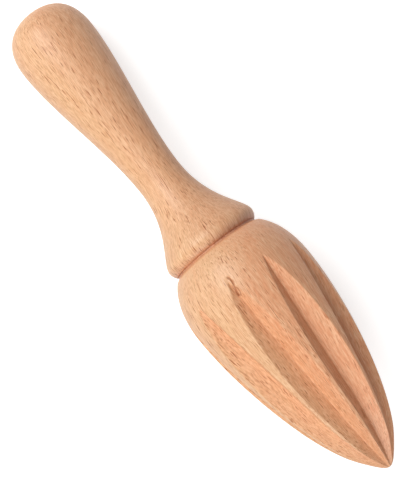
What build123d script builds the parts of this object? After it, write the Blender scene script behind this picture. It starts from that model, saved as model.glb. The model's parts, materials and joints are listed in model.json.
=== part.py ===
from build123d import *
import math
import os

# A turned beech hand reamer for citrus fruit, in millimetres.
# It is drawn along its own axis, +X from the knob to the tip, and then laid on its side
# on the level Z = 0, where the knob and the head both touch.

# Lengths along the tool
handle_length = 87.1            # knob end to the seam
head_length = 77.5              # seam to the tip
knob_crest_from_end = 12.1
neck_from_end = 60.9
lip_crest_to_seam = 2.7
head_crest_from_seam = 17.3

# Diameters
end_flat_diameter = 6.0         # where the blank was parted off and sanded
knob_diameter = 25.1
neck_diameter = 14.1
lip_diameter = 29.94
seam_diameter = 27.6
head_diameter = 40.0
tip_radius = 2.0

# Form of the turned curves: how far each curve holds the direction of its start and its end
knob_end_shares = (0.13, 0.98)
grip_shares = (0.285, 0.308)
flare_shares = (0.579, 0.14)
shoulder_shares = (0.125, 0.667)
nose_shares = (0.323, 0.24)
shoulder_rise_angle = 47.0      # steepness of the head where it leaves the seam
nose_fall_angle = 55.5          # steepness of the head where it meets the rounded tip

# Flutes
flute_count = 10
flute_half_angle = 51.0         # each side of the V cutter
flute_root_radius = 0.35
flute_start_from_seam = 10.8
flute_straight_length = 44.4    # straight run of the valley
flute_fall_angle = 11.8         # fall of the straight run towards the axis
flute_bend_radius = 67.5        # the valley then bends down to the tip

# Joint between handle and head
tenon_diameter = 10.0
tenon_length = 22.0
tenon_chamfer = 0.8
glue_clearance = 0.05           # all round the tenon
socket_end_gap = 1.0            # beyond the end of the tenon

cut_overrun = 2.0
lean_steps = 6

head_radius = head_diameter / 2
seam_radius = seam_diameter / 2
tip_x = handle_length + head_length
head_crest_x = handle_length + head_crest_from_seam
flute_pitch = 360 / flute_count


def on_circle(centre_x, radius, angle):
    """Point of a circle about a centre on the axis, the angle counted from straight up."""
    turn = math.radians(angle)
    return (centre_x + radius * math.sin(turn), radius * math.cos(turn))


def level_curve(start, end, shares):
    """Smooth curve between two points, level at both ends."""
    reach = end[0] - start[0]
    return Bezier(
        start,
        (start[0] + shares[0] * reach, start[1]),
        (end[0] - shares[1] * reach, end[1]),
        end,
    )


def turned(outline, *corners):
    """Solid of revolution about the tool's axis, its outline closed through the corners given."""
    closing = Polyline(outline[-1] @ 1, *corners, outline[0] @ 0)
    return revolve(make_face(Curve() + outline + closing), Axis.X)


def knob_end_curve(edge_of_flat, crest):
    """Domed end of the knob, which leaves the flat steeply and ends level on the crest."""
    rise = crest[1] - edge_of_flat[1]
    return Bezier(
        edge_of_flat,
        (edge_of_flat[0], edge_of_flat[1] + knob_end_shares[0] * rise),
        (crest[0] - knob_end_shares[1] * crest[0], crest[1]),
        crest,
    )


def make_tenon():
    """Round tenon that stands out of the foot of the handle."""
    tenon = Cylinder(tenon_diameter / 2, tenon_length, align=(Align.CENTER, Align.CENTER, Align.MIN))
    tenon = chamfer(tenon.edges().sort_by(Axis.Z)[-1], tenon_chamfer)
    return Pos(handle_length, 0, 0) * Rot(0, 90, 0) * tenon


def make_handle():
    """Knob, tapered grip, neck and flared foot with its rolled lip, and the tenon."""
    edge_of_flat = (0, end_flat_diameter / 2)
    knob_crest = (knob_crest_from_end, knob_diameter / 2)
    neck = (neck_from_end, neck_diameter / 2)
    lip_crest = (handle_length - lip_crest_to_seam, lip_diameter / 2)
    seam = (handle_length, seam_radius)
    outline = [
        knob_end_curve(edge_of_flat, knob_crest),
        level_curve(knob_crest, neck, grip_shares),
        level_curve(neck, lip_crest, flare_shares),
        TangentArc(lip_crest, seam, tangent=(1, 0)),
    ]
    return turned(outline, (handle_length, 0), (0, 0)) + make_tenon()


def head_outline():
    """Shoulder, widest place, long nose and rounded tip of the head."""
    seam = (handle_length, seam_radius)
    crest = (head_crest_x, head_radius)
    rise = math.radians(shoulder_rise_angle)
    rise_pull = shoulder_shares[0] * head_crest_from_seam
    shoulder = Bezier(
        seam,
        (seam[0] + rise_pull * math.cos(rise), seam[1] + rise_pull * math.sin(rise)),
        (crest[0] - shoulder_shares[1] * head_crest_from_seam, crest[1]),
        crest,
    )
    nose_length = tip_x - head_crest_x
    fall = math.radians(nose_fall_angle)
    fall_pull = nose_shares[1] * nose_length
    nose_end = on_circle(tip_x - tip_radius, tip_radius, nose_fall_angle)
    nose = Bezier(
        crest,
        (crest[0] + nose_shares[0] * nose_length, crest[1]),
        (nose_end[0] - fall_pull * math.cos(fall), nose_end[1] + fall_pull * math.sin(fall)),
        nose_end,
    )
    half_turn = (nose_fall_angle + 90) / 2
    tip = ThreePointArc(nose_end, on_circle(tip_x - tip_radius, tip_radius, half_turn), (tip_x, 0))
    return [shoulder, nose, tip]


def make_socket():
    """Blind bore in the back of the head, for the tenon."""
    radius = tenon_diameter / 2 + glue_clearance
    depth = tenon_length + socket_end_gap
    bore = Cylinder(radius, depth, align=(Align.CENTER, Align.CENTER, Align.MIN))
    return Pos(handle_length, 0, 0) * Rot(0, 90, 0) * bore


def cutter_section(height):
    """V of the cutter with its rounded root at the origin, opening along +Y."""
    half_width = height * math.tan(math.radians(flute_half_angle))
    corners = Polyline((-half_width, height), (0, 0), (half_width, height), close=True)
    section = make_face(corners)
    root = section.vertices().sort_by(Axis.Y)[0]
    return fillet(root, flute_root_radius)


def surface_point(outline, x):
    """Point of the turned surface at one place along the axis."""
    station = Axis((x, 0), (0, 1, 0))
    return [point for edge in outline for point in edge.find_intersection_points(station)][0]


def make_flute_cutter(outline):
    """Room that the V cutter takes: straight down the head, then round a wide bend to the tip."""
    start = surface_point(outline, handle_length + flute_start_from_seam)
    section = Plane.YZ * cutter_section(head_radius)
    # Local X runs along the valley from its start, and local Z points out of the wood
    along = Pos(start.X, 0, start.Y) * Rot(0, flute_fall_angle, 0)
    straight = extrude(section, flute_start_from_seam + flute_straight_length, dir=(1, 0, 0))
    straight = along * Pos(-flute_start_from_seam, 0, 0) * straight
    fall = math.radians(flute_fall_angle)
    reach = tip_x + cut_overrun - start.X - flute_straight_length * math.cos(fall)
    bend_angle = math.degrees(math.asin(math.sin(fall) + reach / flute_bend_radius) - fall)
    pivot = Axis((0, 0, -flute_bend_radius), (0, 1, 0))
    bend = along * Pos(flute_straight_length, 0, 0) * revolve(section, pivot, bend_angle)
    return straight + bend


def make_reamer_head():
    """Pointed head with its flutes, and the blind socket in its back."""
    outline = head_outline()
    cutter = make_flute_cutter(outline)
    flutes = [Rot(flute * flute_pitch, 0, 0) * cutter for flute in range(flute_count)]
    return turned(outline, (handle_length, 0)) - make_socket() - flutes


def resting_lean(handle, head):
    """Lean of the axis, in degrees, at which the knob and the head touch the same level."""
    reach = handle_length + head_crest_from_seam - knob_crest_from_end
    lean = 0
    for _ in range(lean_steps):
        knob_low = (Rot(0, -lean, 0) * handle).bounding_box().min.Z
        head_low = (Rot(0, -lean, 0) * head).bounding_box().min.Z
        lean += math.degrees(math.atan2(knob_low - head_low, reach))
    return lean


def resting_place(handle, head):
    """Move that lays the tool on Z = 0, with the middle of its length over the origin."""
    tilt = Rot(0, -resting_lean(handle, head), 0)
    box = Compound([tilt * handle, tilt * head]).bounding_box()
    return Pos(-box.center().X, -box.center().Y, -box.min.Z) * tilt


def main():
    handle = make_handle()
    head = make_reamer_head()
    place = resting_place(handle, head)
    os.makedirs("parts", exist_ok=True)
    export_step(place * handle, "parts/handle.step")
    export_step(place * head, "parts/reamer_head.step")


main()
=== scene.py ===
import json
import math

import bpy
import numpy as np
from mathutils import Matrix, Vector


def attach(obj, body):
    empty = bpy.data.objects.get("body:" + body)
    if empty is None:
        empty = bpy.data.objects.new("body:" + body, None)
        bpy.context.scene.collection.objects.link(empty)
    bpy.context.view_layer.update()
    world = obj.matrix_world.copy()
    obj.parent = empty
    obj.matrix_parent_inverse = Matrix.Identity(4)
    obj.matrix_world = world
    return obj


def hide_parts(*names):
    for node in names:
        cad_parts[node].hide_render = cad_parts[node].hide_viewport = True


# A turned beech hand reamer for citrus fruit, lying on a pale floor.
# The pieces are drawn in millimetres in the tool's own space: X runs from the knob to the tip,
# Z is the tool's upper side. They are then laid where the frame has the tool, in metres.
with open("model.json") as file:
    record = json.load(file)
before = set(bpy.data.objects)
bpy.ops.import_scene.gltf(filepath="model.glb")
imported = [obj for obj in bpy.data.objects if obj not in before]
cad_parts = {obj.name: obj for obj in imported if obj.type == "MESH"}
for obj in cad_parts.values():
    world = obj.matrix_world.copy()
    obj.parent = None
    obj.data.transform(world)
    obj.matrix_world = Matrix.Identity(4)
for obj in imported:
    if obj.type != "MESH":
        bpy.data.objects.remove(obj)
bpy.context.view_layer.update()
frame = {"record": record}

millimetre = 0.001

# Lengths along the tool
handle_length = 87.1
head_length = 77.5
knob_crest_from_end = 12.1
neck_from_end = 60.9
lip_crest_to_seam = 2.7
head_crest_from_seam = 17.3
tip_x = handle_length + head_length

# Diameters
end_flat_diameter = 6.0
knob_diameter = 25.1
neck_diameter = 14.1
lip_diameter = 29.94
seam_diameter = 27.6
head_diameter = 40.0
tip_radius = 2.0

# Form of the turned curves
knob_end_shares = (0.13, 0.98)
grip_shares = (0.285, 0.308)
flare_shares = (0.579, 0.14)
shoulder_shares = (0.125, 0.667)
nose_shares = (0.323, 0.24)
shoulder_rise_angle = 47.0
nose_fall_angle = 55.5

# Flutes
flute_count = 10
flute_half_angle = 51.0
flute_root_radius = 0.35
flute_start_from_seam = 10.8
flute_straight_length = 44.4
flute_fall_angle = 11.8
flute_bend_radius = 67.5
flutes_start_x = handle_length + flute_start_from_seam
ridge_rounding = 0.08           # how far the sanding of the flutes' edges reaches
tip_rounding_share = 0.2        # and the most it may take of the radius, near the tip

# Joint
tenon_diameter = 10.0
tenon_length = 22.0
tenon_chamfer = 0.8
glue_clearance = 0.05
socket_end_gap = 1.0

# Seam between handle and head: a fine groove with browner wood and painted shade on both sides of it
groove_from_seam = 0.4          # its bottom lies in the head
groove_to_handle = 0.6          # width on each side of the bottom
groove_to_head = 0.75
groove_depth = 0.6
stain_and_shade_from_seam = 0.35
stain_and_shade_to_handle = 3.5           # how far the browner wood and painted shade reach on each side
stain_and_shade_to_head = 0.8

# Torn fibres where the cutter entered one flute, with a sliver left between two of the tears.
# A path is made of distances from the seam and angles about the axis.
long_tear_path = (
    (10.1, 2.0), (10.8, 2.7), (11.6, 3.05), (12.4, 2.5), (13.5, 1.4), (14.6, 0.45), (15.6, 0.0),
)
short_tear_path = ((13.5, 2.9), (14.1, 3.4), (15.1, 3.0), (15.9, 1.4))
tears = ((long_tear_path, 0.5, 0.26), (short_tear_path, 0.3, 0.17))     # with depth and half width
chip_path = ((10.6, 0.9), (11.9, 0.7), (13.3, -0.2))    # wood lifted out in front of the flute
chip_depth = 0.25
chip_half_width = 0.75

# Lines of each mesh along the tool
handle_columns = 160            # all round the handle
flute_columns = 40              # in each flute's sector of the head
flute_share = 0.75              # of those lines, the ones inside the flute
inner_crowding = 0.75           # from 0 to 1, of the lines inside a flute towards its bottom and edges
outer_crowding = 0.8            # and of the lines outside it towards its edges
least_flute_half_angle = 4.5    # room that the lines inside a flute keep, also at its ends
least_ridge_half_angle = 1.0    # room that the lines outside it keep
least_edge_radius = tip_radius / 4      # keeps the sum for a flute's width sound at the tip

# Rows of each mesh across the tool: places along X, and how far apart the rows lie there
handle_rows = (
    (0, 0.25),
    (3, 0.5),
    (knob_crest_from_end, 0.8),
    (neck_from_end, 0.8),
    (handle_length - 6, 0.6),
    (handle_length - 3, 0.2),
    (handle_length, 0.05),
)
head_rows = (
    (handle_length, 0.05),
    (handle_length + 2, 0.3),
    (flutes_start_x - 2, 0.4),
    (flutes_start_x, 0.2),
    (flutes_start_x + 8, 0.25),
    (flutes_start_x + 13, 0.54),
    (tip_x - 6, 0.54),
    (tip_x, 0.1),
)
flat_rows = 3                   # on each flat end
wall_rows = 4                   # along the tenon, the socket and the faces at the seam
outline_samples = 400           # points of each curve that the rows are picked from
sharp_angle = 50                # edges turned by more than this are shaded sharp

# Floor and world, in metres
floor_reach = 3.0
floor_drop = 0.00002            # the floor lies this little under the tool
floor_colour = (0.6, 0.6, 0.6, 1)
floor_glow = (0.25, 1.2, 0.72, 1.0)     # two distances from the middle, and the glow seen at each
world_light = 0.235

# Lamps, in metres, degrees and watts. Each has its elevation from the picture's plane, its turn in
# that plane from the tool's tip, its size and its power.
lamp_distance = 0.8
lamps = {
    "key_from_knob": (48, 204, 0.45, 4.4),
    "key_from_tip": (36, 325, 0.45, 2.85),
    "low_fill": (12, 240, 0.4, 0.7),
}

# Camera, as the photograph was taken
camera_distance = 328.3
camera_tilt = 7.1               # towards the tip
camera_turn = 9.87              # about the tool's axis, from the upper side towards +Y
camera_roll = 51.51             # slope of the tool in the picture
camera_target_from_end = 82.6
camera_target_aside = -2.08
camera_lens = 85.9
camera_sensor = 36.0
camera_clip_start = 0.01        # metres


def on_curve(points, shares):
    """Points of a cubic Bezier curve at the given shares of its run."""
    t = shares[:, None]
    a, b, c, d = (np.array(point) for point in points)
    return (1 - t) ** 3 * a + 3 * (1 - t) ** 2 * t * b + 3 * (1 - t) * t ** 2 * c + t ** 3 * d


def level_curve(start, end, shares):
    """Curve between two points, level at both ends."""
    reach = end[0] - start[0]
    pulls = ((start[0] + shares[0] * reach, start[1]), (end[0] - shares[1] * reach, end[1]))
    return on_curve((start, *pulls, end), np.linspace(0, 1, outline_samples))


def arc(centre, radius, first, last):
    """Points of a circle in the outline's plane, the angles counted from straight up."""
    turn = np.radians(np.linspace(first, last, outline_samples))
    return np.stack((centre[0] + radius * np.sin(turn), centre[1] + radius * np.cos(turn)), 1)


def lip_arc(crest, seam):
    """Arc that leaves the lip's crest level and runs down to the seam."""
    reach, drop = seam[0] - crest[0], crest[1] - seam[1]
    radius = (reach ** 2 + drop ** 2) / (2 * drop)
    last = math.degrees(math.asin(reach / radius))
    return arc((crest[0], crest[1] - radius), radius, 0, last)


def handle_outline():
    """Outside of the handle, from the flat of the knob to the seam."""
    flat = (0, end_flat_diameter / 2)
    knob_crest = (knob_crest_from_end, knob_diameter / 2)
    neck = (neck_from_end, neck_diameter / 2)
    lip_crest = (handle_length - lip_crest_to_seam, lip_diameter / 2)
    seam = (handle_length, seam_diameter / 2)
    rise = knob_crest[1] - flat[1]
    pulls = (
        (flat[0], flat[1] + knob_end_shares[0] * rise),
        (knob_crest[0] * (1 - knob_end_shares[1]), knob_crest[1]),
    )
    knob_end = on_curve((flat, *pulls, knob_crest), np.linspace(0, 1, outline_samples))
    grip = level_curve(knob_crest, neck, grip_shares)
    flare = level_curve(neck, lip_crest, flare_shares)
    return np.concatenate((knob_end, grip[1:], flare[1:], lip_arc(lip_crest, seam)[1:]))


def head_outline():
    """Outside of the head before its flutes are cut, from the seam to the tip."""
    seam = (handle_length, seam_diameter / 2)
    crest = (handle_length + head_crest_from_seam, head_diameter / 2)
    rise = math.radians(shoulder_rise_angle)
    rise_pull = shoulder_shares[0] * head_crest_from_seam
    shoulder_points = (
        seam,
        (seam[0] + rise_pull * math.cos(rise), seam[1] + rise_pull * math.sin(rise)),
        (crest[0] - shoulder_shares[1] * head_crest_from_seam, crest[1]),
        crest,
    )
    tip_arc = arc((tip_x - tip_radius, 0), tip_radius, nose_fall_angle, 90)
    nose_length = tip_x - crest[0]
    fall = math.radians(nose_fall_angle)
    fall_pull = nose_shares[1] * nose_length
    nose_points = (
        crest,
        (crest[0] + nose_shares[0] * nose_length, crest[1]),
        (tip_arc[0][0] - fall_pull * math.cos(fall), tip_arc[0][1] + fall_pull * math.sin(fall)),
        tuple(tip_arc[0]),
    )
    shares = np.linspace(0, 1, outline_samples)
    shoulder = on_curve(shoulder_points, shares)
    nose = on_curve(nose_points, shares)
    return np.concatenate((shoulder, nose[1:], tip_arc[1:]))


def stations(outline, rows):
    """Points along an outline, as far apart as the rows' table says."""
    places, spacings = zip(*rows)
    steps = np.hypot(*np.diff(outline, axis=0).T)
    run = np.concatenate(((0,), np.cumsum(steps)))
    found = [0.0]
    while found[-1] < run[-1]:
        x = np.interp(found[-1], run, outline[:, 0])
        found.append(found[-1] + np.interp(x, places, spacings))
    found = np.array(found) * run[-1] / found[-1]
    return np.stack((np.interp(found, run, outline[:, 0]), np.interp(found, run, outline[:, 1])), 1)


def line(start, end, rows):
    """Evenly spaced points from one to another, without the last."""
    return np.linspace(start, end, rows, endpoint=False)


def smooth_least(a, b, reach):
    """The lesser of two heights, with the corner between them rounded over a reach."""
    share = np.clip(0.5 + 0.5 * (b - a) / reach, 0, 1)
    return b + (a - b) * share - reach * share * (1 - share)


def valley(x):
    """Height of a flute's bottom over the axis, and the tangent of its slope."""
    start = np.interp(flutes_start_x, *head_outline()[:outline_samples].T)
    fall = math.radians(flute_fall_angle)
    along = x - flutes_start_x
    straight = flute_straight_length * math.cos(fall)
    bend = np.arcsin(math.sin(fall) + np.maximum(along - straight, 0) / flute_bend_radius)
    height = start - np.minimum(along, straight) * math.tan(fall)
    height = height - flute_bend_radius * (math.cos(fall) - np.cos(bend))
    return height, np.tan(bend)


def flute_height(x, turn):
    """Distance from the axis to a flute's walls, at an angle from the flute's middle."""
    height, slope = valley(x)
    half = math.radians(flute_half_angle)
    rise = np.sqrt(1 + slope ** 2) / math.tan(half)
    root = flute_root_radius * (1 / math.sin(half) - 1)
    c, s = np.cos(turn), np.sin(turn)
    square = c ** 2 - (s * rise) ** 2
    under = np.maximum((height * c) ** 2 - square * (height ** 2 - root ** 2), 0)
    return (height * c + np.sqrt(under)) / square


def flute_edge(x, radius):
    """Half the angle that a flute takes of the turned surface."""
    height, slope = valley(x)
    rise = np.sqrt(1 + slope ** 2) / math.tan(math.radians(flute_half_angle))
    share = np.clip(height / (np.maximum(radius, least_edge_radius) * np.sqrt(1 + rise ** 2)), -1, 1)
    half_sector = 180 / flute_count
    found = np.degrees(np.arccos(share) - np.arctan(rise))
    return np.clip(found, least_flute_half_angle, half_sector - least_ridge_half_angle)


def column_turns(edge):
    """Angles of the lines of one sector, from its middle, crowded at the flute's bottom and edges."""
    half_sector = 180 / flute_count
    place = np.arange(flute_columns) * 2 / flute_columns - 1
    size = np.abs(place)
    inside = np.minimum(size / flute_share, 1)
    inside = inside - inner_crowding * np.sin(2 * math.pi * inside) / (2 * math.pi)
    outside = np.maximum(size - flute_share, 0) / (1 - flute_share)
    outside = outside - outer_crowding * np.sin(math.pi * outside) / math.pi
    turn = edge[:, None] * inside + (half_sector - edge)[:, None] * outside
    return np.radians(np.sign(place) * turn)


def way_from_path(x, across, path):
    """Distance of points of the unrolled surface from a path on it."""
    least = np.full(np.broadcast(x, across).shape, np.inf)
    for (x1, y1), (x2, y2) in zip(path[:-1], path[1:]):
        run, rise = x2 - x1, y2 - y1
        share = np.clip(((x - x1) * run + (across - y1) * rise) / (run ** 2 + rise ** 2), 0, 1)
        least = np.minimum(least, np.hypot(x - x1 - share * run, across - y1 - share * rise))
    return least


def near_path(x, radius, turns, path, half_width):
    """One on a path over the head, given from the seam and by angles, and less beside it."""
    path = [(handle_length + away, math.radians(turn) * head_diameter / 2) for away, turn in path]
    across = (np.mod(turns + math.pi, 2 * math.pi) - math.pi) * radius
    return np.exp(-(way_from_path(x, across, path) / half_width) ** 2)


def nick(x, radius, turns):
    """How deep the torn fibres are at each point of the surface, and how dark they are painted, partly as
    shade in the tears.
    """
    deep = chip_depth * near_path(x, radius, turns, chip_path, chip_half_width)
    dark = np.zeros(turns.shape)
    for path, depth, half_width in tears:
        torn = near_path(x, radius, turns, path, half_width)
        deep, dark = np.maximum(deep, depth * torn), np.maximum(dark, torn)
    return deep, dark


def head_surface(rows):
    """Points of the fluted surface at each row of the turned outline, how deep it is cut, and how dark it
    is painted where torn, partly as shade in the tears.
    """
    x, radius = rows[:, :1], rows[:, 1:]
    turn = column_turns(flute_edge(rows[:, 0], rows[:, 1]))
    sector = 2 * math.pi / flute_count
    reach = np.minimum(ridge_rounding, tip_rounding_share * radius)
    walls = smooth_least(flute_height(x, turn), flute_height(x, sector - np.abs(turn)), reach)
    cut = smooth_least(walls, radius, reach)
    turns = np.concatenate([turn + flute * sector for flute in range(flute_count)], 1)
    cuts = np.tile(cut, flute_count)
    torn, dark = nick(x, radius, turns)
    points = cuts - torn
    surface = np.stack((np.broadcast_to(x, cuts.shape), points * np.sin(turns), points * np.cos(turns)), 2)
    return surface, radius - cuts, dark


def near_seam(x, middle, to_handle, to_head):
    """One beside the seam, falling evenly to nothing on both sides."""
    away = x - handle_length - middle
    return np.clip(1 - np.abs(away) / np.where(away < 0, to_handle, to_head), 0, 1)


def grooved(x, radius):
    """Outline's radius, let in by the groove at the seam."""
    return radius - groove_depth * near_seam(x, groove_from_seam, groove_to_handle, groove_to_head)


def seam_stain_and_shade(rows):
    """How brown each row of an outline is beside the seam, with painted shade of the groove there."""
    near = near_seam(rows[:, :1], stain_and_shade_from_seam, stain_and_shade_to_handle, stain_and_shade_to_head)
    return near ** 2 * (3 - 2 * near)


def turned_surface(rows, turns):
    """Points of a surface of revolution, one row of points for each row of the outline."""
    x, radius = rows[:, :1], rows[:, 1:]
    along = np.broadcast_to(x, (len(rows), len(turns)))
    return np.stack((along, radius * np.sin(turns), radius * np.cos(turns)), 2)


def tool_frame():
    """Where the tool's own space lies: its origin is the middle of the knob's flat end."""
    mount = {found["name"]: found for found in frame["record"]["mounts"]}["end_flat"]
    along = -Vector(mount["axis"]).normalized()
    aside = Vector((0, 1, 0))
    upper = along.cross(aside)
    turned = Matrix((along, aside, upper)).transposed().to_4x4()
    return Matrix.Translation(Vector(mount["pos_m"])) @ turned


def closed_mesh(name, first, grid, last, looks):
    """Mesh of rows of points round the axis, closed by one point at each end.
    Each look is a value at every point of the rows that the wood's colour follows."""
    rows, columns = grid.shape[:2]
    points = np.concatenate(((first,), grid.reshape(-1, 3), (last,)))
    index = 1 + np.arange(rows * columns).reshape(rows, columns)
    beside = np.roll(index, -1, axis=1)
    quads = np.stack((index[:-1], index[1:], beside[1:], beside[:-1]), 2).reshape(-1, 4)
    start = np.stack((np.zeros(columns, int), index[0], beside[0]), 1)
    end = np.stack((index[-1], np.full(columns, len(points) - 1), beside[-1]), 1)
    mesh = bpy.data.meshes.new(name)
    laid = np.array(tool_frame())
    placed = points * millimetre @ laid[:3, :3].T + laid[:3, 3]
    mesh.from_pydata(placed.tolist(), [], start.tolist() + quads.tolist() + end.tolist())
    place = mesh.attributes.new("place", "FLOAT_VECTOR", "POINT")
    place.data.foreach_set("vector", points.astype(np.float32).ravel())
    for look, values in looks.items():
        ends = np.concatenate((values[:1, 0], values.ravel(), values[-1:, 0])).astype(np.float32)
        mesh.attributes.new(look, "FLOAT", "POINT").data.foreach_set("value", ends)
    mesh.shade_smooth()
    mesh.set_sharp_from_angle(angle=math.radians(sharp_angle))
    return mesh


def make_handle():
    """Knob, grip, neck, foot and tenon as one closed body."""
    outside = stations(handle_outline(), handle_rows)
    outside[:, 1] = grooved(*outside.T)
    flat = line((0, 0), outside[0], flat_rows + 1)[1:]
    tenon_radius = tenon_diameter / 2
    tenon_end = handle_length + tenon_length
    foot = line(outside[-1], (handle_length, tenon_radius), wall_rows)[1:]
    wall = line((handle_length, tenon_radius), (tenon_end - tenon_chamfer, tenon_radius), wall_rows)
    chamfer_end = (tenon_end, tenon_radius - tenon_chamfer)
    chamfer = line((tenon_end - tenon_chamfer, tenon_radius), chamfer_end, 1)
    end = line(chamfer_end, (tenon_end, 0), flat_rows)
    rows = np.concatenate((flat, outside, foot, wall, chamfer, end))
    turns = np.linspace(0, 2 * math.pi, handle_columns, endpoint=False)
    grid = turned_surface(rows, turns)
    whole = np.zeros(grid.shape[:2])
    looks = {"cut": whole, "stain_and_shade": whole + seam_stain_and_shade(rows), "torn": whole}
    return closed_mesh("turned_handle", (0, 0, 0), grid, (tenon_end, 0, 0), looks)


def make_head():
    """Fluted head with the blind socket in its back as one closed body."""
    outside = stations(head_outline(), head_rows)[:-1]
    outside[:, 1] = grooved(*outside.T)
    radius = tenon_diameter / 2 + glue_clearance
    socket_end = handle_length + tenon_length + socket_end_gap
    end = line((socket_end, 0), (socket_end, radius), flat_rows + 1)[1:]
    wall = line((socket_end, radius), (handle_length, radius), wall_rows)
    back = line((handle_length, radius), outside[0], wall_rows)
    inner = np.concatenate((end, wall, back))
    turn = column_turns(np.array((least_flute_half_angle,)))[0]
    sector = 2 * math.pi / flute_count
    turns = np.concatenate([turn + flute * sector for flute in range(flute_count)])
    surface, cut, torn = head_surface(outside)
    grid = np.concatenate((turned_surface(inner, turns), surface))
    hidden = np.zeros((len(inner), len(turns)))
    looks = {
        "cut": np.concatenate((hidden, cut)),
        "stain_and_shade": np.concatenate((hidden, np.zeros(cut.shape) + seam_stain_and_shade(outside))),
        "torn": np.concatenate((hidden, torn)),
    }
    return closed_mesh("fluted_head", (socket_end, 0, 0), grid, (tip_x, 0, 0), looks)


def srgb(*values):
    """Linear colour of a display colour given from 0 to 255."""
    shares = [value / 255 for value in values]
    linear = [s / 12.92 if s <= 0.04045 else ((s + 0.055) / 1.055) ** 2.4 for s in shares]
    return (*linear, 1)


class Nodes:
    """Short ways to add and join nodes in one material or world."""

    def __init__(self, tree):
        self.tree = tree
        tree.nodes.clear()

    def add(self, kind, inputs=(), **settings):
        """A new node with its settings, and its inputs given as values or as sockets to join."""
        node = self.tree.nodes.new("ShaderNode" + kind)
        for name, value in settings.items():
            setattr(node, name, value)
        for name, value in dict(inputs).items():
            self.give(node.inputs[name], value)
        return node

    def give(self, socket, value):
        if isinstance(value, bpy.types.NodeSocket):
            self.tree.links.new(value, socket)
        else:
            socket.default_value = value

    def attribute(self, name, output="Fac"):
        return self.add("Attribute", attribute_name=name).outputs[output]

    def number(self, operation, a, b=0.0, clamp=False):
        return self.add("Math", {0: a, 1: b}, operation=operation, use_clamp=clamp).outputs[0]

    def times(self, a, b):
        return self.number("MULTIPLY", a, b)

    def vector(self, operation, a, b=(0.0, 0.0, 0.0)):
        return self.add("VectorMath", {0: a, 1: b}, operation=operation).outputs[0]

    def turned(self, vector, *angles):
        """Places turned by angles in degrees about X, Y and Z."""
        rotation = [math.radians(angle) for angle in angles]
        return self.add("Mapping", {"Vector": vector, "Rotation": rotation}).outputs[0]

    def noise(self, vector, scale, detail, roughness, output="Fac"):
        """Noise with its own scale along each axis."""
        scaled = self.add("Mapping", {"Vector": vector, "Scale": scale}).outputs[0]
        inputs = {"Vector": scaled, "Scale": 1.0, "Detail": detail, "Roughness": roughness}
        return self.add("TexNoise", inputs).outputs[output]

    def between(self, value, low, high, to_low=0.0, to_high=1.0):
        """Smooth ramp from one given value to another while the value goes from low to high."""
        inputs = {"Value": value, "From Min": low, "From Max": high, "To Min": to_low, "To Max": to_high}
        return self.add("MapRange", inputs, interpolation_type="SMOOTHSTEP").outputs[0]

    def mix(self, share, a, b, blend="MIX"):
        node = self.add("Mix", data_type="RGBA", blend_type=blend)
        self.give(node.inputs["Factor"], share)
        self.give(node.inputs[6], a)
        self.give(node.inputs[7], b)
        return node.outputs[2]

    def shade(self, share, colour, factor):
        """Colour multiplied by a factor, by the share given."""
        return self.mix(share, colour, factor, "MULTIPLY")


# Wood: where its grain lies. The far side is the one towards +Y.
ray_turn = camera_turn - 20             # of the wood's rays, about the axis from the upper side
handle_grain_slope = 4.0                # degrees between the grain and the axis
head_grain_slope = 1.5
handle_grain_reach = (11.0, 0.2)        # radius of plain width, and share of the true depth that counts
head_grain_reach = (18.0, 0.3)
lit_wood_swell_x = handle_length + 4.3      # here the lit side's wood reaches furthest over, and the painted shade begins further off
# Drifts of the grain: a noise as below, and how far the wood is pushed aside
slow_drift = ((0.03, 0.05, 0.05), 1.0, 0.5), 1.0
quick_drift = ((0.12, 0.4, 0.4), 1.0, 0.5), 0.12

# Noises in the wood: waves per millimetre along, across and into the grain, detail and roughness
band_noise = (0.012, 0.35, 0.16), 2.0, 0.5
mottle_noise = (0.07, 0.5, 0.4), 3.0, 0.6
ripple_noise = (0.12, 3.0, 3.0), 1.0, 0.5
fibre_noise = (0.6, 4.6, 4.6), 2.0, 0.6
strength_noise = (0.25, 0.5, 0.5), 1.0, 0.5
stain_and_shade_noise = (0.0, 0.35, 0.35), 1.0, 0.5

# Dark dashes: their length, width and depth, the value that a noise stays under in them, and the
# value up to which the wood beside them is paler
long_dash = (5.6, 0.34, 0.34), 0.32, 0.42
short_dash = (4.4, 0.27, 0.27), 0.325, 0.43
dash_detail, dash_roughness = 1.0, 0.4
dash_fade = (-0.04, 0.03)               # about the first value
pale_fade = 0.09                        # past the second

# Colours of the wood, and shades that it is multiplied by
# The near side's wood and the redder, darker wood of the far side are painted light and shade: the far
# side lies away from the lamps.
lit_side_wood = srgb(230, 181, 135)
handle_wood_in_painted_shade = srgb(226, 164, 121)
head_wood_in_painted_shade = srgb(231, 160, 116)
band_wood = srgb(226, 169, 128)
mottled_wood = srgb(232, 171, 127)
pale_wood = srgb(251, 211, 170)
# The torn wood's dark colour is partly its own and partly painted shade in the tears.
torn_wood_and_painted_shade = srgb(138, 70, 40)
grain_shade = (0.55, 0.33, 0.18, 1)
cut_shade = (0.98, 0.9, 0.875, 1)
# The next three darken the wood beside the seam: partly a browner stain, partly painted shade of the
# groove, and on the far side a painted shadow of the lip.
dark_seam_and_painted_shade = (0.97, 0.9, 0.89, 1)
stain_and_painted_shade = (0.86, 0.77, 0.77, 1)
far_side_painted_shadow = (0.83, 0.9, 1.0, 1)

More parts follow.
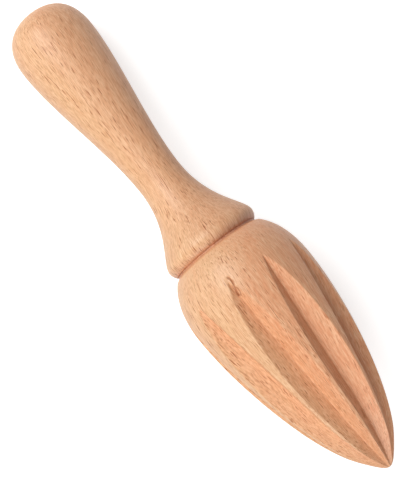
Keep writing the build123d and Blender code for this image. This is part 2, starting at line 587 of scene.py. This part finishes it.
# Ramps: a low and a high value of what is followed, and what the ramp gives at each of the two
fine_grain_on_slant = (0.45, 0.85, 1.0, 0.25)
fine_grain_to_far_side = (3.0, 10.0, 1.0, 0.55)
lit_wood_reach_from_swell = (3.0, 14.0, 5.0, 0.0)
painted_shade_across = (-7.0, 7.0, 0.0, 1.0)
band_strength = (0.35, 0.65, 0.0, 0.3)
mottle_strength = (0.4, 0.7, 0.0, 0.28)
dark_ripple_strength = (0.3, 0.48, 0.22, 0.0)
pale_ripple_strength = (0.52, 0.68, 0.0, 0.25)
fibre_strength = (0.35, 0.6, 0.4, 0.0)
short_dash_strength = (0.4, 0.6, 0.35, 1.1)
long_dash_strength = (0.4, 0.6, 1.2, 0.6)
dashes_in_cut = (0.2, 1.0, 1.0, 0.75)
flush_in_cut = (0.05, 0.3, 0.0, 1.0)
flush_with_mottle = (0.35, 0.65, 0.65, 1.0)
flush_to_near_side = (-10.0, 0.0, 1.5, 0.6)
flush_to_far_side = (2.0, 12.0, 1.0, 0.4)
seam_strength = (0.6, 0.95, 0.0, 1.0)
stain_and_shade_unevenness = (0.35, 0.6, 0.7, 1.0)
painted_shadow_to_far_side = (1.0, 9.0, 0.0, 1.0)
wood_roughness = (0.3, 0.7, 0.41, 0.51)

# Shares of the pale wood beside the dashes, of the torn wood with its painted shade, and of the surface's
# relief
short_pale_share = 0.25
long_pale_share = 0.35
torn_and_painted_shade_share = 0.65
fibre_height_share = 0.5
dash_depth_share = 0.3
relief_strength = 0.25
relief_height = 0.00006                 # metres


def dashes(nodes, grain, size, dark_value, pale_value):
    """Dark dashes along the grain, and the paler wood beside them."""
    scale = tuple(1 / length for length in size)
    waves = nodes.noise(grain, scale, dash_detail, dash_roughness)
    dark = nodes.between(waves, dark_value + dash_fade[0], dark_value + dash_fade[1], 1.0, 0.0)
    past_dark = nodes.between(waves, dark_value, pale_value)
    before_end = nodes.between(waves, pale_value, pale_value + pale_fade, 1.0, 0.0)
    return dark, nodes.times(past_dark, before_end)


def drifted(nodes, vector, noise, reach):
    """Places pushed aside by a slow noise, so that the grain isn't dead straight."""
    aside = nodes.vector("MULTIPLY", nodes.noise(vector, *noise, "Color"), (0.0, reach, reach))
    return nodes.vector("ADD", vector, aside)


def near_cylinder(nodes, place, radius, kept_share):
    """Places moved out or in towards a cylinder, so that the dashes stay long on slanting wood."""
    outward = nodes.vector("NORMALIZE", nodes.vector("MULTIPLY", place, (0.0, 1.0, 1.0)))
    rim = radius * (1 - kept_share)
    kept = nodes.vector("MULTIPLY", place, (1.0, kept_share, kept_share))
    return nodes.vector("ADD", kept, nodes.vector("MULTIPLY", outward, (0.0, rim, rim)))


def grain_places(nodes, place, slope, reach):
    """Where each point lies in the wood, for its broad figure and for its fine grain."""
    figure = drifted(nodes, nodes.turned(place, ray_turn, 0, slope), *slow_drift)
    grain = nodes.turned(near_cylinder(nodes, place, *reach), 0, 0, slope)
    grain = drifted(nodes, grain, *slow_drift)
    return figure, drifted(nodes, grain, *quick_drift)


def plain_wood(nodes, where, figure, mottle, wood_in_painted_shade):
    """Wood without its fine grain: redder and darker on the far side as painted shade, banded and mottled.
    """
    from_swell = nodes.number("ABSOLUTE", nodes.number("SUBTRACT", where["X"], lit_wood_swell_x))
    lit_wood_reach = nodes.between(from_swell, *lit_wood_reach_from_swell)
    painted_shade_share = nodes.between(nodes.number("SUBTRACT", where["Y"], lit_wood_reach), *painted_shade_across)
    bands = nodes.noise(figure, *band_noise)
    colour = nodes.mix(painted_shade_share, lit_side_wood, wood_in_painted_shade)
    colour = nodes.mix(nodes.between(bands, *band_strength), colour, band_wood)
    return nodes.mix(nodes.between(mottle, *mottle_strength), colour, mottled_wood)


def grained(nodes, colour, grain, fibres, across, cut):
    """Wood with the ripples, fibres and dashes of its grain, and the long dashes alone."""
    normal = nodes.add("SeparateXYZ", {0: nodes.add("NewGeometry").outputs["Normal"]})
    slant = nodes.number("ABSOLUTE", normal.outputs["X"])
    level = nodes.between(slant, *fine_grain_on_slant)
    strength = nodes.times(level, nodes.between(across, *fine_grain_to_far_side))
    ripple = nodes.noise(grain, *ripple_noise)
    dark_ripple = nodes.times(strength, nodes.between(ripple, *dark_ripple_strength))
    pale_ripple = nodes.times(level, nodes.between(ripple, *pale_ripple_strength))
    dark_fibres = nodes.times(strength, nodes.between(fibres, *fibre_strength))
    colour = nodes.shade(dark_ripple, colour, grain_shade)
    colour = nodes.mix(pale_ripple, colour, pale_wood)
    colour = nodes.shade(dark_fibres, colour, grain_shade)

    long_dashes, long_pale = dashes(nodes, grain, *long_dash)
    short_dashes, short_pale = dashes(nodes, grain, *short_dash)
    colour = nodes.mix(nodes.times(short_pale, short_pale_share), colour, pale_wood)
    colour = nodes.mix(nodes.times(long_pale, long_pale_share), colour, pale_wood)
    strong = nodes.noise(grain, *strength_noise)
    strength = nodes.times(strength, nodes.between(cut, *dashes_in_cut))
    short_strength = nodes.times(nodes.between(strong, *short_dash_strength), strength)
    long_strength = nodes.times(nodes.between(strong, *long_dash_strength), strength)
    colour = nodes.shade(nodes.times(short_dashes, short_strength), colour, grain_shade)
    colour = nodes.shade(nodes.times(long_dashes, long_strength), colour, grain_shade)
    return colour, long_dashes


def flushed(nodes, colour, across, mottle, cut):
    """Wood that is redder where the flutes are cut into it."""
    flush = nodes.times(nodes.between(cut, *flush_in_cut), nodes.between(mottle, *flush_with_mottle))
    flush = nodes.times(flush, nodes.between(across, *flush_to_near_side))
    flush = nodes.times(flush, nodes.between(across, *flush_to_far_side))
    return nodes.shade(flush, colour, cut_shade)


def stained_and_shaded(nodes, colour, place, across):
    """Wood that is unevenly browner beside the seam, with painted shade there, and greyer on the far side
    where the lip's shadow is painted.
    """
    stain_and_shade = nodes.attribute("stain_and_shade")
    colour = nodes.shade(nodes.between(stain_and_shade, *seam_strength), colour, dark_seam_and_painted_shade)
    uneven = nodes.noise(place, *stain_and_shade_noise)
    stain_and_shade = nodes.times(stain_and_shade, nodes.between(uneven, *stain_and_shade_unevenness))
    colour = nodes.shade(stain_and_shade, colour, stain_and_painted_shade)
    # Painted shadow of the lip, greyer on the far side
    far_painted_shadow = nodes.times(stain_and_shade, nodes.between(across, *painted_shadow_to_far_side))
    return nodes.shade(far_painted_shadow, colour, far_side_painted_shadow)


def make_beech(name, slope, reach, wood_in_painted_shade):
    """Light beech: fine fibres, broad pale and pinkish bands and short dark dashes along the grain."""
    material = bpy.data.materials.new(name)
    material.use_nodes = True
    nodes = Nodes(material.node_tree)
    place = nodes.attribute("place", "Vector")
    cut = nodes.attribute("cut")
    where = nodes.add("SeparateXYZ", {0: place}).outputs
    figure, grain = grain_places(nodes, place, slope, reach)
    mottle = nodes.noise(grain, *mottle_noise)
    fibres = nodes.noise(grain, *fibre_noise)

    colour = plain_wood(nodes, where, figure, mottle, wood_in_painted_shade)
    colour, long_dashes = grained(nodes, colour, grain, fibres, where["Y"], cut)
    colour = flushed(nodes, colour, where["Y"], mottle, cut)
    colour = stained_and_shaded(nodes, colour, place, where["Y"])
    # Torn fibres darkened, partly as painted shade in the tears
    colour = nodes.mix(nodes.times(nodes.attribute("torn"), torn_and_painted_shade_share), colour, torn_wood_and_painted_shade)

    raised = nodes.times(fibres, fibre_height_share)
    height = nodes.number("SUBTRACT", raised, nodes.times(long_dashes, dash_depth_share))
    relief = {"Height": height, "Strength": relief_strength, "Distance": relief_height}
    normal = nodes.add("Bump", relief).outputs[0]
    roughness = nodes.between(fibres, *wood_roughness)
    inputs = {"Base Color": colour, "Roughness": roughness, "Normal": normal}
    shader = nodes.add("BsdfPrincipled", inputs)
    nodes.add("OutputMaterial", {"Surface": shader.outputs[0]})
    return material


def dress(mesh, node, material):
    """Puts a finished mesh in the place of its CAD node."""
    piece = bpy.data.objects.new(mesh.name, mesh)
    bpy.context.scene.collection.objects.link(piece)
    mesh.materials.append(material)
    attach(piece, "root")
    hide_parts(node)


def seen_ray(nodes):
    """One where the camera or a reflection looks, nothing where light falls on the object."""
    path = nodes.add("LightPath")
    return nodes.number("ADD", path.outputs["Is Camera Ray"], path.outputs["Is Glossy Ray"], clamp=True)


def make_floor():
    """Plain white floor: it keeps the soft shadow, and the camera sees it nearly white."""
    ways = ((-1, -1), (1, -1), (1, 1), (-1, 1))
    corners = [(x * floor_reach, y * floor_reach, -floor_drop) for x, y in ways]
    mesh = bpy.data.meshes.new("floor")
    mesh.from_pydata(corners, [], [(0, 1, 2, 3)])
    floor = bpy.data.objects.new("floor", mesh)
    bpy.context.scene.collection.objects.link(floor)
    material = bpy.data.materials.new("floor_white")
    material.use_nodes = True
    nodes = Nodes(material.node_tree)
    matt = nodes.add("BsdfDiffuse", {"Color": floor_colour})
    away = nodes.add("VectorMath", {0: nodes.add("TexCoord").outputs["Object"]}, operation="LENGTH")
    strength = nodes.between(away.outputs["Value"], *floor_glow)
    glow = nodes.add("Emission", {"Color": (1, 1, 1, 1), "Strength": strength})
    both = nodes.add("AddShader", {0: matt.outputs[0], 1: glow.outputs[0]})
    mixed = nodes.add("MixShader", {0: seen_ray(nodes), 1: matt.outputs[0], 2: both.outputs[0]})
    nodes.add("OutputMaterial", {"Surface": mixed.outputs[0]})
    mesh.materials.append(material)


def make_world():
    """Surroundings that the camera sees white, and that light the object a little."""
    world = bpy.data.worlds.new("studio")
    bpy.context.scene.world = world
    world.use_nodes = True
    nodes = Nodes(world.node_tree)
    strength = nodes.number("ADD", world_light, nodes.times(seen_ray(nodes), 1 - world_light))
    back = nodes.add("Background", {"Color": (1, 1, 1, 1), "Strength": strength})
    nodes.add("OutputWorld", {"Surface": back.outputs[0]})


def picture_axes():
    """Directions along and across the tool in the picture, and towards the camera."""
    along, aside, upper = tool_frame().to_3x3().col
    turn, tilt = math.radians(camera_turn), math.radians(camera_tilt)
    facing = upper * math.cos(turn) + aside * math.sin(turn)
    back = along * math.sin(tilt) + facing * math.cos(tilt)
    run = (along - back * math.sin(tilt)) / math.cos(tilt)
    return run, back.cross(run), back


def make_lamp(name, elevation, azimuth, size, power):
    """Soft square lamp that shines on the middle of the tool."""
    run, cross, back = picture_axes()
    raised, turned = math.radians(elevation), math.radians(azimuth)
    flat = run * math.cos(turned) + cross * math.sin(turned)
    toward = (flat * math.cos(raised) + back * math.sin(raised)).normalized()
    lamp = bpy.data.lights.new(name, "AREA")
    lamp.shape = "SQUARE"
    lamp.size = size
    lamp.energy = power
    lamp_object = bpy.data.objects.new(name, lamp)
    bpy.context.scene.collection.objects.link(lamp_object)
    facing = toward.to_track_quat("Z", "Y").to_matrix().to_4x4()
    lamp_object.matrix_world = Matrix.Translation(toward * lamp_distance) @ facing


def make_camera():
    """Camera over the tool, turned and rolled as the photograph shows it."""
    run, cross, back = picture_axes()
    roll = math.radians(camera_roll)
    right = run * math.cos(roll) + cross * math.sin(roll)
    up = cross * math.cos(roll) - run * math.sin(roll)
    target = tool_frame() @ Vector((camera_target_from_end * millimetre, 0, 0))
    target += cross * camera_target_aside * millimetre
    camera = bpy.data.cameras.new("camera")
    camera.sensor_width = camera_sensor
    camera.sensor_fit = "AUTO"
    camera.lens = camera_lens
    camera.clip_start = camera_clip_start
    camera_object = bpy.data.objects.new("camera", camera)
    bpy.context.scene.collection.objects.link(camera_object)
    turned = Matrix((right, up, back)).transposed().to_4x4()
    camera_object.matrix_world = Matrix.Translation(target + back * camera_distance * millimetre) @ turned
    bpy.context.scene.camera = camera_object


handle_beech = make_beech("beech_handle", handle_grain_slope, handle_grain_reach, handle_wood_in_painted_shade)
head_beech = make_beech("beech_head", head_grain_slope, head_grain_reach, head_wood_in_painted_shade)
dress(make_handle(), "handle", handle_beech)
dress(make_head(), "reamer_head", head_beech)
make_floor()
make_world()
for name, values in lamps.items():
    make_lamp(name, *values)
make_camera()
bpy.context.scene.view_settings.view_transform = "Standard"
